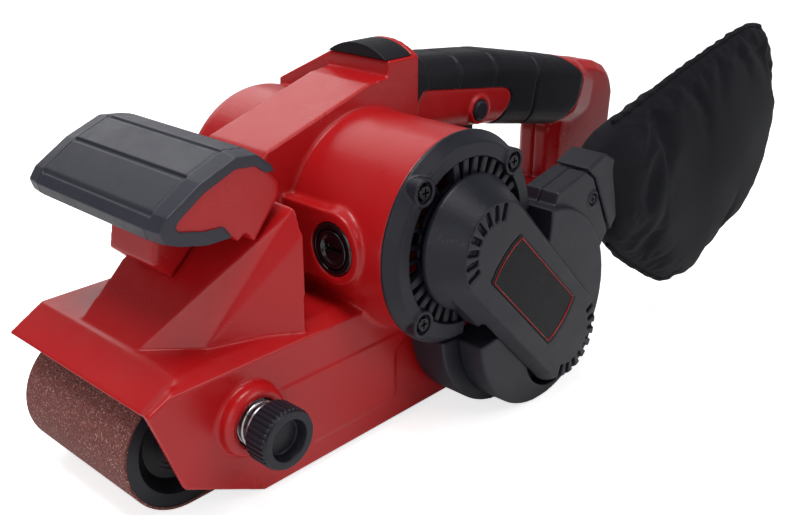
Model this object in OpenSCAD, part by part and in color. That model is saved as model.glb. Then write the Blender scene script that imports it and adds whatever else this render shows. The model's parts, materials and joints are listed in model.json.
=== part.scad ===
// Handheld belt sander, drawn as the separate pieces it comes apart into.
// +X points to the nose, +Y to the drive side, +Z up. The flat running face of the abrasive
// belt is the plane Z = 0. The origin is the centre of the sanding sole.

/* [Belt] */
// Width of the sanding belt
belt_w = 76; // [74:1:77]
// Thickness of the sanding belt
belt_t = 1.0; // [0.8:0.1:1.0]

/* [Front handle] */
// Half length of the front handle
fh_half = 47; // [44:1:50]

/* [Dust bag] */
// Thickness of the filled dust bag
bag_t = 38; // [36:1:50]

/* [Tracking knob] */
// Radius of the tracking knob
knob_r = 12.9; // [11:0.1:14]
// Number of grip ribs on the tracking knob
knob_ribs = 36; // [24:1:40]

/* [Hidden] */
$fn = 96;

// Axes along Y, as [x, z]
roller_z = 28.65;  // also the outer radius of the belt on a roller
motor = [-26, 94.5];
front_roller = [95, roller_z];
rear_roller = [-84, roller_z];
cowl = rear_roller + [0, 2];
cover_low = [-86, 33];     // lower end of the drive cover
fan_drum = [-73.5, 49.6];
drum_bulge = [-63.5, 50.6];
skirt_arc = [-82, 39];
tracking = [77, 41];
trigger_at = [-93.5, 114];
lock_at = [-113.5, 124.5];

// Brush axis along X, and other single places
brush_y = 50;
brush_z = 95.6;
boss_z = brush_z + 0.6;
cord_z = 72;
lever_x = 20;
lever_y = -26;
deck_half = 49.5;
skirt_y = 57;

// Radii, and the gap where parts fit
fit = 0.05;
roller_r = roller_z - belt_t - fit;
sleeve_t = 2;
barrel_r = 47;
cowl_r = 39;
ring_r = 48;
ring_clear_r = ring_r + 0.4;
ring_inner_r = 37.4;
drum_r = 48.4;
motor_shaft_r = 4;
pinion_shaft_r = 3.5;
drive_shaft_r = 7;
shaft_end_r = 6;
axle_r = 6;
motor_bearing_r = 11;
inner_bearing_r = 14;
outer_bearing_r = 12;
idler_bearing_r = 13;
holder_r = 7;
cap_r = 12;
platen_screw_r = 1.9;
lock_r = 5.5;
pin_r = 2;
cord_r = 3.55;

// Screw places, as [x, z]
ring_holes = [for (a = [45:90:315]) motor + 41.5 * [cos(a), sin(a)]];
duct_holes = [[-114, 92.5], [-116.5, 49], [-107, 11]];
handle_holes = [[-200, 53], [-238, 54], [-150, 54.5]];

// Toothed drive
tooth_pitch = 2.5;
pinion_teeth = 16;
pulley_teeth = 48;
function wheel_r(teeth) = teeth * tooth_pitch / (2 * PI) - 0.4;
pinion_r = wheel_r(pinion_teeth);
pulley_r = wheel_r(pulley_teeth);
drive_line = rear_roller - motor;
drive_angle = atan2(drive_line[1], drive_line[0]);
wrap_angle = asin((pulley_r - pinion_r) / norm(drive_line));

red = "#BE1E23";
dark = "#2D2D37";
rubber = "#191920";
steel = "#B8BABD";
alloy = "#A9ACB0";
copper = "#B5652A";
pulley_grey = "#3A3A40";

// ---------- shapes; c is always an [x, z] place ----------
function unit(v) = v / norm(v);
function normal(v) = [-v[1], v[0]];
// Points scaled about a centre, which then moves to another place
function scaled(points, centre, scale, to) =
  [for (p = points) [for (k = [0, 1]) (p[k] - centre[k]) * scale[k] + to[k]]];
// Points of a w by h rectangle with rounded corners of six flats each
function rounded(w, h, r_max) = [for (q = [0:3], i = [0:6])
  let (a = q * 90 + i * 15, r = min(r_max, w / 2 - 1.5, h / 2 - 1.5))
  [(w / 2 - r) * (q == 0 || q == 3 ? 1 : -1) + r * cos(a),
   (h / 2 - r) * (q < 2 ? 1 : -1) + r * sin(a)]];

module at(c, y = 0) translate([c[0], y, c[1]]) children();
// Copies about the Y axis through c, each turned from +X towards +Z
module around(c, angles) for (a = angles) at(c) rotate([0, -a, 0]) children();
module box(x0, x1, y0, y1, z0, z1) translate([x0, y0, z0]) cube([x1 - x0, y1 - y0, z1 - z0]);
module along_y(y0, y1)
  translate([0, y1, 0]) rotate([90, 0, 0]) linear_extrude(y1 - y0) children();
module along_x(x0, x1)
  translate([x0, 0, 0]) rotate([90, 0, 90]) linear_extrude(x1 - x0) children();
module slab(y0, y1, points) along_y(y0, y1) polygon(points);
module rod_y(c, y0, y1, r) at(c, y1) rotate([90, 0, 0]) cylinder(h = y1 - y0, r = r);
module rod_x(y, z, x0, x1, r)
  translate([x0, y, z]) rotate([0, 90, 0]) cylinder(h = x1 - x0, r = r);
module rod_z(x, y, z0, z1, r) translate([x, y, z0]) cylinder(h = z1 - z0, r = r);
module cone_y(c, y, h, r1, r2, way = 1)
  at(c, y) rotate([-90 * way, 0, 0]) cylinder(h = h, r1 = r1, r2 = r2);
module cone_x(x, y, z, h, r1, r2, way = 1)
  translate([x, y, z]) rotate([0, 90 * way, 0]) cylinder(h = h, r1 = r1, r2 = r2);
module tube_y(c, y0, y1, outer, inner) difference() {
  rod_y(c, y0, y1, outer);
  rod_y(c, y0 - 1, y1 + 1, inner);
}
module disc(c, r) translate(c) circle(r);
// Slot outline: a disc at each end and a band
module capsule(a, b, r) {
  side = normal(unit(b - a)) * (r - 0.05);
  disc(a, r);
  disc(b, r);
  polygon([a + side, b + side, b - side, a - side]);
}
// Wire coil with closed ends along +Z
module coil(r, wire_r, turns, h, steps) {
  last = turns * steps;
  sides = 6;
  points = [for (i = [0:last])
    let (a = 360 * i / steps, z = wire_r + (h - 2 * wire_r) * i / last)
    for (j = [0:sides - 1])
      let (b = 360 * j / sides, d = r + wire_r * cos(b))
      [d * cos(a), d * sin(a), z + wire_r * sin(b)]];
  faces = concat(
    [[for (j = [0:sides - 1]) j]],
    [[for (j = [sides - 1:-1:0]) last * sides + j]],
    [for (i = [0:last - 1], j = [0:sides - 1]) let (k = (j + 1) % sides)
      [i * sides + j, (i + 1) * sides + j, (i + 1) * sides + k, i * sides + k]]);
  polyhedron(points, faces, convexity = 3);
}
module bearing(c, y0, y1, outer, bore) difference() {
  rod_y(c, y0, y1, outer);
  rod_y(c, y0 - 1, y1 + 1, bore);
  for (y = [y0 - 1, y1 - 0.5]) tube_y(c, y, y + 1.5, outer - 1.8, bore + 1.6);
}
module platen_holes(z0, z1, r)
  for (x = [-34, 0, 34], y = [-24, 24]) rod_z(x, y, z0, z1, r);

// ---------- red housing; outlines are [x, z] unless noted ----------
skirt_pts = [[106, 68], [122.5, 60.5], [109, 22.5], [71, 3], [-54, 3], [-54, 68]];
skirt_panel_pts = [[60, 46.5], [-20, 46.5], [-8, 38], [-8, 15], [-2, 13.8], [42, 13.8], [56, 30]];
ridge_pts = [[104, 64], [102.6, 68.6], [30, 133.5], [-31, 152.3], [-44, 153.5], [-44, 110],
  [0, 64]];
ridge_hollow_pts = [[90, 66.5], [30, 126], [-31, 148.5], [-40.5, 149.5], [-40.5, 134],
  [14, 124], [24, 60]];
// Corners of the flare, [x, y, z]
flare_pts = [[102.6, 21.5, 68.5], [84, 40.5, 67.6], [44.5, 52, 120.3], [43.4, 55.5, 108.5],
  [43.4, 55, 66.6], [102.4, -19, 68.5], [43.4, -15, 66.6], [43.4, -15, 121.2]];
head_pts = [[-20, 160.3], [-58, 141.5], [-58, 120], [20, 120], [20, 155]];  // [y, z]
cowl_fin_pts = [[-121, 43], [-121, 69], [-70, 84], [-66, 84], [-66, 62], [-100, 43]];

module brush_bosses() for (x = [motor[0] + 30, motor[0] - 49.5])
  along_x(x, x + 19.5) {
    disc([brush_y, boss_z], 16.3);
    disc([22, boss_z], 16.2);
    translate([22, boss_z - 16.15]) square([brush_y - 22, 32.3]);
  }
module brush_flares() for (side = [1, -1])
  cone_x(motor[0] + side * 49.5, brush_y, boss_z, 16, 16.25, 19, -side);
// Bores on both sides of the motor, from x0 to x1 away from it
module brush_bores(x0, x1, r) for (x = [motor[0] + x0, motor[0] - x1])
  rod_x(brush_y, brush_z, x, x + x1 - x0, r);
module motor_barrel() difference() {
  union() {
    rod_y(motor, -52, 77, barrel_r);
    rod_y(motor, -61, -51, 38);
    // rounded edge of the far end
    at(motor, -52) rotate([90, 0, 0]) rotate_extrude() translate([38, 0])
      intersection() {
        circle(9);
        square(20);
      }
    brush_bosses();
    brush_flares();
  }
  box(-80, 40, -70, 41, 20, 60.5);
}
// Wedge above the sloping side of the deck
module side_slope() along_x(-62, 130) polygon([[deck_half, 68.01], [skirt_y + 1, 64.55],
  [skirt_y + 1, 72], [deck_half, 72]]);
// Deck with the sloping nose lip, side lips and the cowl behind the drive roller
module deck() {
  slab(-deck_half, deck_half,
    [[-60, 64.6], [100.5, 64.2], [118.6, 56.2], [121.4, 58.6], [105, 68], [-60, 68]]);
  difference() {
    slab(deck_half - 0.1, skirt_y, [[-60, 64.3], [103, 64.3], [105, 68], [-60, 68]]);
    side_slope();
  }
  hull() {
    slab(deck_half - 0.1, deck_half, [[100.5, 64.2], [118.6, 56.2], [121.4, 58.6], [105, 68]]);
    slab(skirt_y - 0.1, skirt_y, [[99, 60.5], [119.5, 57.6], [122.5, 60.3], [106, 64.95]]);
  }
  box(-60, 104, -deck_half, -deck_half + 3, 60.5, 66);
  box(-60, 104, skirt_y - 3, skirt_y, 60.5, 64.9);
  box(-99, -58, -deck_half, 52, 63.5, 68);
  along_y(-deck_half, 52) intersection() {
    difference() {
      disc(cowl, cowl_r);
      disc(cowl, 35.6);
    }
    translate([-125, 12]) square([27, 60]);
  }
}
// Flare between the ridge and the motor barrel
module ramp_flare() difference() {
  hull() for (p = flare_pts) translate(p - [0.4, 0.4, 0.4]) cube(0.4);
  slab(10, 35, [[82, 60], [82, 69], [46.5, 101], [46.5, 60]]);
}
module side_skirt() {
  difference() {
    slab(skirt_y - 3.5, skirt_y, skirt_pts);
    rod_y(skirt_arc, 50, 60, 49.7);
    side_slope();
  }
  // raised panel
  along_y(skirt_y, skirt_y + 0.8) difference() {
    polygon(skirt_panel_pts);
    disc(skirt_arc, 50);
  }
  rod_y(tracking, 50, 61.5, 15.5);
  cone_y(tracking, 61.45, 2.5, 15.5, 13.2);
}
// Head above the barrel with its shoulder towards -Y
module head() {
  intersection() {
    box(-64, -43.5, -20, 20, 120, 170);
    rod_x(0, 133, -65, -43, 34);
  }
  along_x(-64, -43.5) polygon(head_pts);
}
module main_housing() color(red) difference() {
  union() {
    motor_barrel();
    deck();
    slab(-20, 20, ridge_pts);
    ramp_flare();
    side_skirt();
    head();
    along_y(-17, 17) difference() {
      polygon(cowl_fin_pts);
      disc(cowl, 36.2);
    }
  }
  // motor bore with its bearing seat at the far end
  difference() {
    rod_y(motor, -57, 78, 44);
    box(-80, 40, -70, 41, 60, 64);
    tube_y(motor, -57.5, -47, 14, motor_bearing_r);
  }
  rod_y(motor, -58, -47, motor_bearing_r);
  brush_bores(20, 42, holder_r + fit);
  brush_bores(41, 52, cap_r + fit);
  // cooling air slots in the far end
  around(motor, [for (a = [0:30:330]) if (a != 270) a]) box(20, 36, -63, -56, -2.2, 2.2);
  // tracking screw passage and spring pocket
  rod_y(tracking, 49, 65, 3.2);
  rod_y(tracking, 58.5, 65, 10.5);
  // head recess for the pad
  intersection() {
    box(-60.5, -40, -20.5, 20.5, 160.75, 170);
    rod_x(0, 133, -61, -40, 35);
  }
  for (p = ring_holes) rod_y(p, 66, 78, 1.9);
  // hollow ridge and head
  slab(-16.5, 16.5, ridge_hollow_pts);
  box(-60.5, -47, -16, 16, 120, 157);
  for (x = [-70, -112], y = [-10, 10]) rod_z(x, y, 60, 79, 1.6);
}

// ---------- motor end ring ----------
module motor_end_ring() color(dark) difference() {
  union() {
    tube_y(motor, 77.05, 78.5, ring_r, ring_inner_r);
    difference() {
      cone_y(motor, 78.4, 5.6, ring_r, 43.7);
      rod_y(motor, 77.4, 85.4, ring_inner_r);
    }
    tube_y(motor, 72, 77.1, 43.9, 40.5);
    for (p = ring_holes) rod_y(p, 77.5, 85.2, 6.2);
    rod_y(motor, 77.05, 79.5, 27);
    tube_y(motor, 70, 77.1, 14, motor_bearing_r);
    // wide and narrow spokes
    around(motor, concat([for (i = [0:6]) -18 - i * 10.5], [for (i = [0:7]) 78 + i * 10.5]))
      box(26, 38, 77.05, 82.6, -1.7, 1.7);
    around(motor, [-4, 8, 22, 58]) box(26, 38, 77.05, 79.6, -1, 1);
  }
  rod_y(motor, 70, 90, 5);
  rod_y(motor, 69, 77, motor_bearing_r);
  for (p = ring_holes) {
    rod_y(p, 70, 90, 2.1);
    rod_y(p, 83, 90, 4.5);
  }
  // room for the fan housing
  rod_y(fan_drum, 77, 90, 48.6);
}

// ---------- drive cover ----------
cover_line = cover_low - motor;
// Cross section of the cover between its ends, [y, offset]
cover_section_pts = [[0, -27.33], [7.85, -27.33], [16.4, -21.53], [16.4, 21.53], [7.85, 27.33],
  [0, 27.33]];
badge_pts = [[-41.5, 97.9], [-35.6, 95.2], [-29.8, 90.9], [-24.9, 86.1], [-21.7, 81.2],
  [-67.8, 34.7], [-73.2, 36.6], [-79, 41], [-84.4, 46.6], [-88.1, 52.3]];
badge_centre = [-54.8, 66.5];
function badge(gap) = scaled(badge_pts, badge_centre, [1, 1] * (1 - gap / 24), badge_centre);

module cover_slots(c, angles, inner, outer, half_w)
  around(c, angles) box(inner, outer, 98.2, 102, -half_w, half_w);
module drive_cover() color(dark) difference() {
  union() {
    rod_y(cover_low, 84.1, 92.1, 27.4);
    cone_y(cover_low, 92, 8.5, 27.4, 21.6);
    rod_y(motor, 84.1, 86.1, 30.5);
    cone_y(motor, 86, 14.5, 30.5, 21.6);
    at(motor, 84.1) rotate([0, -atan2(cover_line[1], cover_line[0]), 0])
      along_x(0, norm(cover_line)) polygon(cover_section_pts);
  }
  rod_y(fan_drum, 84, 94.1, 48.6);
  for (p = ring_holes) rod_y(p, 80, 90, 7);
  // hollow inside
  along_y(84, 95) capsule(motor, cover_low, 22.5);
  along_y(94.9, 97.5) capsule(motor, cover_low, 20.4);
  // badge pocket
  slab(99.7, 102, badge(0));
  // air slots round both ends
  cover_slots(motor, [-24:18:106], 13.2, 20.9, 1.45);
  cover_slots(cover_low, [152:17:290], 15.5, 23.8, 1.4);
}
module badge_plate() color("#14141A") slab(99.75, 100.6, badge(0.15));

// ---------- fan housing and duct ----------
duct_wall = 2.5;
lug_pts = [[-112.5, 13.4], [-103, 6.6], [-92, 13], [-104, 22]];

// Duct outline, drawn in by the inset i
module duct_outline(i) polygon([[-74 - 0.3 * i, 82 - i], [-84.5, 103 - i],
  [-106.5 - i * 0.2, 108.2 - i], [-113.5 + i * 0.5, 103.6 - i], [-130 + i, 72],
  [-122 + i, 61.5], [-126.5 + i, 56], [-124 + i, 46], [-121 + i, 34], [-90, 34]]);
module fan_outline(inset) difference() {
  union() {
    disc(fan_drum, drum_r - inset);
    duct_outline(inset);
  }
  disc(motor, ring_clear_r + inset);
}
module fan_housing_inner() color(dark) difference() {
  union() {
    along_y(60, 80) fan_outline(0);
    along_y(60.5, 79.9) difference() {
      disc(drum_bulge, 48.6);
      disc(motor, ring_clear_r);
      disc(fan_drum, 46.2);
    }
    tube_y(rear_roller, 50.2, 60.1, 23, 20.5);
    difference() {
      tube_y(fan_drum, 66, 69, 49.3, 46);
      rod_y(motor, 65, 70, ring_clear_r);
    }
    slab(71.2, 80, lug_pts);
    rod_y(duct_holes[2], 71.2, 80, 6);
  }
  // the duct is narrower than the drum
  along_y(59, 71) difference() {
    translate([-140, 25]) square([120, 100]);
    disc(fan_drum, 49.3);
    disc(drum_bulge, 48.7);
    translate([-115, 0]) square([26, 22]);
  }
  rod_x(brush_y, boss_z, -78, -70, 18);
  // hollow of the drum and the duct
  along_y(62.5, 81) intersection() {
    fan_outline(duct_wall);
    disc(fan_drum, 45.9);
  }
  along_y(73.3, 81) fan_outline(duct_wall);
  // open mouth of the duct
  slab(73.3, 81, [[-104, 100], [-112, 106], [-131.5, 74], [-122, 72]]);
  rod_y(rear_roller, 50, 63, 16);
  rod_y(rear_roller, 49, 60, 20.4);
  for (p = duct_holes) rod_y(p, 72, 82, 1.6);
  box(-120, -95, 49, 58, 20, 38);
}
module fan_housing_outer() color(dark) difference() {
  union() {
    along_y(80, 94) difference() {
      disc(fan_drum, drum_r);
      disc(motor, ring_clear_r);
    }
    along_y(80, 90) fan_outline(0);
    for (p = duct_holes) rod_y(p, 80, 90.6, p[1] < 20 ? 6 : 4.2);
    slab(80, 88.5, lug_pts);
    box(-125.5, -112.5, 80, 88, 42, 56);
  }
  // hollow of the duct
  difference() {
    along_y(79, 87.6) fan_outline(duct_wall);
    along_y(79, 84) disc(fan_drum, 48.9);
    rod_y(rear_roller, 77, 95, 26);
    along_y(78, 95) disc(fan_drum, 48.3);
    for (p = duct_holes) rod_y(p, 79, 90, 3.6);
  }
  slab(79.9, 87.6, [[-104, 100], [-112, 106], [-131.5, 74], [-119, 70]]);
  // pulley well
  along_y(84, 95) {
    disc(rear_roller, 23.4);
    capsule(motor, rear_roller, 14);
    capsule(motor - [30, 34], cover_low, 20);
  }
  drive_loop(3.6, 84, 95);
  rod_y(rear_roller, 77, 85, outer_bearing_r);
  for (p = duct_holes) {
    rod_y(p, 79, 92, 1.75);
    rod_y(p, 88.4, 92, 3.1);
  }
}

// ---------- dust bag ----------
collar_pts = [[-108, 109], [-122.5, 114], [-131, 109.6], [-137.5, 78], [-132.2, 71.6],
  [-115, 103.4]];
collar_bore_pts = [[-105, 104], [-124, 109.5], [-130, 106], [-136, 84], [-140, 79],
  [-131.8, 76.4], [-112.4, 101]];
bag_pts = [[-125, 122], [-168, 131.5], [-228, 146], [-282, 154.5], [-304, 149], [-320, 132],
  [-330, 108], [-332, 75], [-321, 44], [-301, 30], [-258, 24.5], [-226, 15], [-193, 27],
  [-165, 44], [-145, 56], [-138, 66], [-139.5, 78], [-133, 108], [-126, 113.5]];
bag_centre = [-230, 82];
bag_y = 80.5;

module bag_collar() color(dark) difference() {
  slab(70.6, 90.4, collar_pts);
  slab(73.4, 87.6, collar_bore_pts);
  slab(73.4, 87.6, [[-120, 111], [-140, 111], [-140, 77], [-128, 80]]);
}
module dust_bag() color("#1C1C22") difference() {
  union() {
    slab(bag_y - bag_t / 2, bag_y + bag_t / 2,
      scaled(bag_pts, bag_centre, [0.955, 0.95], bag_centre - [4, 0]));
    slab(68, 93, bag_pts);
  }
  slab(bag_y + 3.5 - bag_t / 2, bag_y - 3.5 + bag_t / 2,
    scaled(bag_pts, bag_centre, [0.9, 0.88], bag_centre - [6, 0]));
  slab(73.4, 87.6, [[-110, 106], [-180, 106], [-180, 82], [-110, 82]]);
}

// ---------- rear handle ----------
grip_front = [-64.1, 138.5];
grip_bend = [-132, 131.8];
grip_rear = [-206, 117.3];
front_dir = unit(grip_front - grip_bend);
rear_dir = unit(grip_bend - grip_rear);
bend_normal = unit(normal(front_dir + rear_dir));
arm_front = [-118, 56];
arm_rear = [-212, 52.6];
post_centre = [-222, 88];
post_pts = [[-189, 41], [-189, 95], [-200, 133], [-218, 134.3], [-233, 131.5], [-244, 127],
  [-250.7, 121], [-254, 113], [-253, 102], [-251, 83], [-249, 41]];
// Front region where the shell is full size
panel_pts = [[-60, 131], [-70, 142], [-134.5, 132.9], [-138.6, 131.4], [-141.2, 128.2],
  [-140.6, 124], [-136.4, 119], [-132.6, 112], [-130, 90], [-60, 90]];
// The same region with clearance, cut from the rubber grip
panel_gap_pts = [[-60, 131.2], [-69.9, 142.2], [-134.5, 133], [-138.7, 131.5],
  [-141.3, 128.25], [-140.7, 124], [-136.5, 119], [-132.7, 112], [-130.1, 90], [-60, 90]];
// Rear edge of the rubber grip
grip_edge_pts = [[-190, 148], [-194.5, 140.8], [-203.4, 134.2], [-208, 130.4], [-210.6, 127],
  [-211.4, 124], [-210.6, 120.6], [-207.7, 115.6], [-203.7, 110.8], [-195.6, 105],
  [-187, 101.2]];
// Rear region where the shell is full size
rear_pts = concat([[-186.4, 170]], [for (p = grip_edge_pts) p - [0.08, 0.02]],
  [[-187.2, 99], [-170, 92], [-118, 84], [-118, 20], [-270, 20], [-270, 170]]);
groove_region_pts = [[-73.5, 142.1], [-134.5, 133.2], [-142, 128], [-142, 90], [-260, 90],
  [-260, 170], [-73.5, 170]];
// Grip grooves: x, z, tilt
grip_grooves = [[-97, 135.2, -5.6], [-126, 132.4, -5.6], [-163, 125.7, -11]];

function post_outline(grow) =
  scaled(post_pts, post_centre, [1 + grow / 31, 1 + grow / 46.5], post_centre);
// Chamfered rear post, its outline grown by half of grow
module post(grow, w) hull() {
  slab(-w / 2 + 5, w / 2 - 5, post_outline(grow / 2));
  slab(-w / 2, w / 2, post_outline(grow / 2 - 5));
}
// Bent grip: four sections joined by flat faces, the rear one smaller
module grip_body(grow) {
  section = rounded(36 + grow, 39 + grow, 11.5);
  end_scale = 0.74;
  centres = [grip_front + front_dir * 4, grip_bend, grip_rear, grip_rear - rear_dir * 24];
  normals = [normal(front_dir), bend_normal / (bend_normal * normal(front_dir)),
    normal(rear_dir), normal(rear_dir) * end_scale];
  widths = [1, 1, 1, end_scale];
  n = len(section);
  points = [for (k = [0:3]) for (q = section) let (c = centres[k] + normals[k] * q[1])
    [c[0], q[0] * widths[k], c[1]]];
  faces = concat(
    [[for (i = [n - 1:-1:0]) i]],
    [[for (i = [0:n - 1]) 3 * n + i]],
    [for (k = [0:2], i = [0:n - 1]) let (j = (i + 1) % n)
      [n * k + i, n * k + j, n * k + n + j, n * k + n + i]]);
  polyhedron(points, faces, convexity = 4);
}
// Lower arm and rear post
module lower_frame(grow, w = 28) {
  arm = arm_front - arm_rear;
  at(arm_rear) rotate([0, atan2(arm[0], arm[1]), 0]) linear_extrude(norm(arm))
    polygon(rounded(26 + grow, w + grow - 0.12, 6));
  post(grow, w + grow);
}
// Half of the handle shell: side 1 is +Y, side -1 is -Y
module shell(side) {
  left = side > 0;
  difference() {
    union() {
      difference() {
        union() {
          grip_body(-3.6);
          intersection() {
            grip_body(0);
            slab(-30, 30, panel_pts);
          }
          intersection() {
            union() {
              grip_body(0.08);
              lower_frame(0.08);
            }
            slab(-30, 30, rear_pts);
          }
        }
        grip_body(-9.6);
        lower_frame(-9.6, 28.4);
      }
      for (p = handle_holes) rod_y(p, left ? -1 : -12.5, left ? 12.5 : 1, 5.2);
      // raised collar round the lock button
      if (left) tube_y(lock_at, 16.5, 19.2, 7.6, lock_r + fit);
    }
    // the other half, and everything ahead of the grip
    box(-300, 0, left ? -40 : 0, left ? 0 : 40, 0, 200);
    box(-64.05, 0, -30, 30, 0, 200);
    // trigger slot, lock button bore, trigger pin and cord passage
    box(-126.5, -88, -7.4, 7.4, 90, 122);
    if (left) rod_y(lock_at, 5, 30, lock_r + fit);
    rod_y(trigger_at, -14, 14, pin_r);
    rod_x(0, cord_z, -262, -230, 5);
    // room for the housing
    box(-121.05, -60, -40, 40, 30, 90);
    rod_y(motor, -40, 40, barrel_r + fit);
    rod_y(cowl, -40, 40, cowl_r + fit);
    for (p = handle_holes)
      if (left) {
        rod_y(p, 0, 30, 1.9);
        rod_y(p, 10, 30, 3.9);
      } else rod_y(p, -9, 0, 1.6);
  }
}
module handle_shell_left() color(red) shell(1);
module handle_shell_right() color(red) shell(-1);
module handle_grip() color(rubber) difference() {
  union() {
    intersection() {
      grip_body(0.6);
      slab(-30, 30, concat([[-64.1, 170], [-186.1, 170]], grip_edge_pts,
        [[-186.1, 96], [-64.1, 96]]));
    }
    // front collar
    intersection() {
      grip_body(2.2);
      slab(-30, 30, [[-64.1, 170], [-73, 170], [-73, 90], [-64.1, 90]]);
    }
  }
  grip_body(-3.44);
  slab(-30, 30, panel_gap_pts);
  for (g = grip_grooves) intersection() {
    at(g) rotate([0, g[2], 0]) box(-0.8, 0.8, -26, 26, -30, 30);
    difference() {
      grip_body(5);
      grip_body(-1.4);
    }
    slab(-30, 30, groove_region_pts);
  }
}
module head_pad() color(dark) intersection() {
  box(-60.4, -42.4, -20, 20, 160.8, 170);
  rod_x(0, 133, -61, -42, 34);
}

// ---------- front handle ----------
fh_pts = [[50, 139], [57, 145], [68, 146.3], [85, 139.6], [101, 129.6], [104.5, 124.5],
  [103, 119.5], [96, 116.5], [84, 113.5], [72, 113.2], [66, 117], [52, 127], [48, 133]];
core_pts = [[52, 137], [57, 142.3], [68, 143.4], [84, 137], [98.5, 127.8], [100.5, 124.6],
  [99, 121.6], [84, 117], [74, 116.5], [68, 111], [64, 113.5], [60, 108.5], [46.5, 124.5],
  [46.5, 130]];
fh_bore_pts = [[54, 136], [58, 139.4], [68, 140.4], [83, 134.6], [95, 126.8], [96.5, 124.6],
  [95, 122.8], [84, 120], [75, 119.4], [70, 112], [66, 100], [40, 100], [40, 134]];
fh_end_y = 38;  // where the ends begin to taper

module front_handle_core() color(red) difference() {
  union() {
    slab(-fh_half + 1, fh_half - 1, core_pts);
    slab(-16, 16, [[84, 118], [50, 118], [46, 126], [42, 124], [80, 90.6], [88, 98]]);
  }
  slab(-30, 30, [[112, 62.2], [30, 134.08], [20, 126], [20, 60]]);
  for (y = [-8, 8]) translate([62, y, 105.8]) rotate([0, 41, 0]) cylinder(h = 30, r = 1.9);
}
module front_handle_grip() color("#45454F") difference() {
  union() {
    slab(-fh_end_y, fh_end_y, fh_pts);
    // tapered ends: start and tip
    for (y = [[fh_end_y - 0.1, fh_half - 0.1], [-fh_end_y, -fh_half]]) hull() {
      slab(y[0], y[0] + 0.1, fh_pts);
      slab(y[1], y[1] + 0.1, scaled(fh_pts, [76, 126], [0.975, 0.94], [75.6, 125.9]));
    }
  }
  slab(-fh_half + 1, fh_half - 1, core_pts);
  slab(-60, 60, fh_bore_pts);
  slab(-60, 60, [[46, 134], [66, 117], [72, 113.1], [60, 100], [30, 110]]);
  slab(-17, 17, [[88, 98], [84, 118], [50, 118], [46, 126], [42, 124], [80, 90]]);
  // long grooves along the top
  for (p = [[68.5, 146.6], [85.3, 140.1], [101.4, 129.9]])
    along_y(-39, 39) translate(p) rotate(-28) square([1.8, 3.4], center = true);
  // seam near each end
  for (y = [-38.6, 37.8]) along_y(y, y + 0.8) difference() {
    translate([30, 90]) square([90, 70]);
    polygon(scaled(fh_pts, [76, 128], [0.978, 0.962], [76, 128]));
  }
}

// ---------- trigger, switch and cord ----------
trigger_pts = [[-89.5, 117], [-97, 118], [-122.5, 114.2], [-123.2, 107], [-120.6, 100.5],
  [-114, 97], [-104, 98.5], [-96, 104], [-91, 110.5]];

module trigger() color(dark) difference() {
  slab(-7, 7, trigger_pts);
  rod_y(trigger_at, -8, 8, pin_r + fit);
}
module trigger_pin() color(steel) rod_y(trigger_at, -12, 12, pin_r);
module switch_module() color("#222226") {
  box(-127, -92, -8, 8, 125, 144);
  box(-114, -108, -3, 3, 120.5, 125.5);
}
module lock_button() color(dark) {
  rod_y(lock_at, 12.2, 19.4, lock_r);
  cone_y(lock_at, 19.3, 1.1, lock_r, 4.2);
}
module cord_boot() color(rubber) difference() {
  union() {
    rod_x(0, cord_z, -262, -238, 4.95);
    cone_x(-284, 0, cord_z, 30, 5, 7.5);
    for (i = [0:4]) rod_x(0, cord_z, -282 + i * 5, -280 + i * 5, 6.4 + i * 0.4);
  }
  rod_x(0, cord_z, -290, -230, cord_r + fit);
}
module power_cord() color(rubber) rod_x(0, cord_z, -304, -225, cord_r);

// ---------- chassis and sole ----------
chassis_side_pts = [[30, 12], [30, 54], [-60, 58], [-108, 40], [-110, 16], [-100, 8], [-60, 6],
  [20, 6]];
platen_pts = [[-64, 1.05], [64, 1.05], [68, 3.2], [67.6, 3.9], [63.6, 1.7], [-63.6, 1.7],
  [-67.6, 3.9], [-68, 3.2]];

module chassis() color(alloy) difference() {
  union() {
    slab(41, 47, chassis_side_pts);
    rod_y(rear_roller, 41, 50.1, 17);
    box(-56, 60, -36, 46.9, 4.7, 16);
    // guides round the idler carrier
    box(-10, 4, 6, 10, 15.9, 30);
    box(-10, 4, 6, 42, 26.05, 30);
    box(-10, 34, 6, 10, 15.9, 27.5);
    box(-44, -40, 18, 41.1, 15.9, 30);
    // bracket of the tension lever
    box(-6, 4, -36, -16, 15.9, 52);
    box(-6, 32, -36, -16, 46.05, 52);
    box(-50, 20, 41.1, 46.9, 50, 60.4);
  }
  rod_y(rear_roller, 42, 51, inner_bearing_r);
  rod_y(rear_roller, 40, 52, 9);
  rod_y(motor, 40, 48, barrel_r + fit);
  rod_z(lever_x, lever_y, 45, 53, 4.05);
  box(-35, 5, 10.05, 40.9, 16, 26.05);
  box(5, 62, 10.05, 48, 16, 40);
  platen_holes(4, 17, platen_screw_r);
  for (x = [-45, -25, -5, 40]) box(x, x + 12, -30, -8, 7.5, 17);
}
module platen_sheet() color(steel) difference() {
  slab(-36, 36, platen_pts);
  platen_holes(0, 4, platen_screw_r);
}
module cork_pad() color("#8A6238") difference() {
  box(-62, 62, -36, 36, 1.75, 4.65);
  platen_holes(0, 8, 2.3);
}
module platen_screws() color(steel) platen_holes(1.1, 14, platen_screw_r);
// Solid loop round both rollers
module roller_loop(r, half_w) {
  rod_y(front_roller, -half_w, half_w, r);
  rod_y(rear_roller, -half_w, half_w, r);
  box(rear_roller[0], front_roller[0], -half_w, half_w, roller_z - r, roller_z + r);
}
module sanding_belt() color("#96504B") difference() {
  roller_loop(roller_z, belt_w / 2);
  roller_loop(roller_z - belt_t, belt_w / 2 + 1);
}

// ---------- drive roller, fan and toothed drive ----------
roller_half = 37.5;
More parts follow.
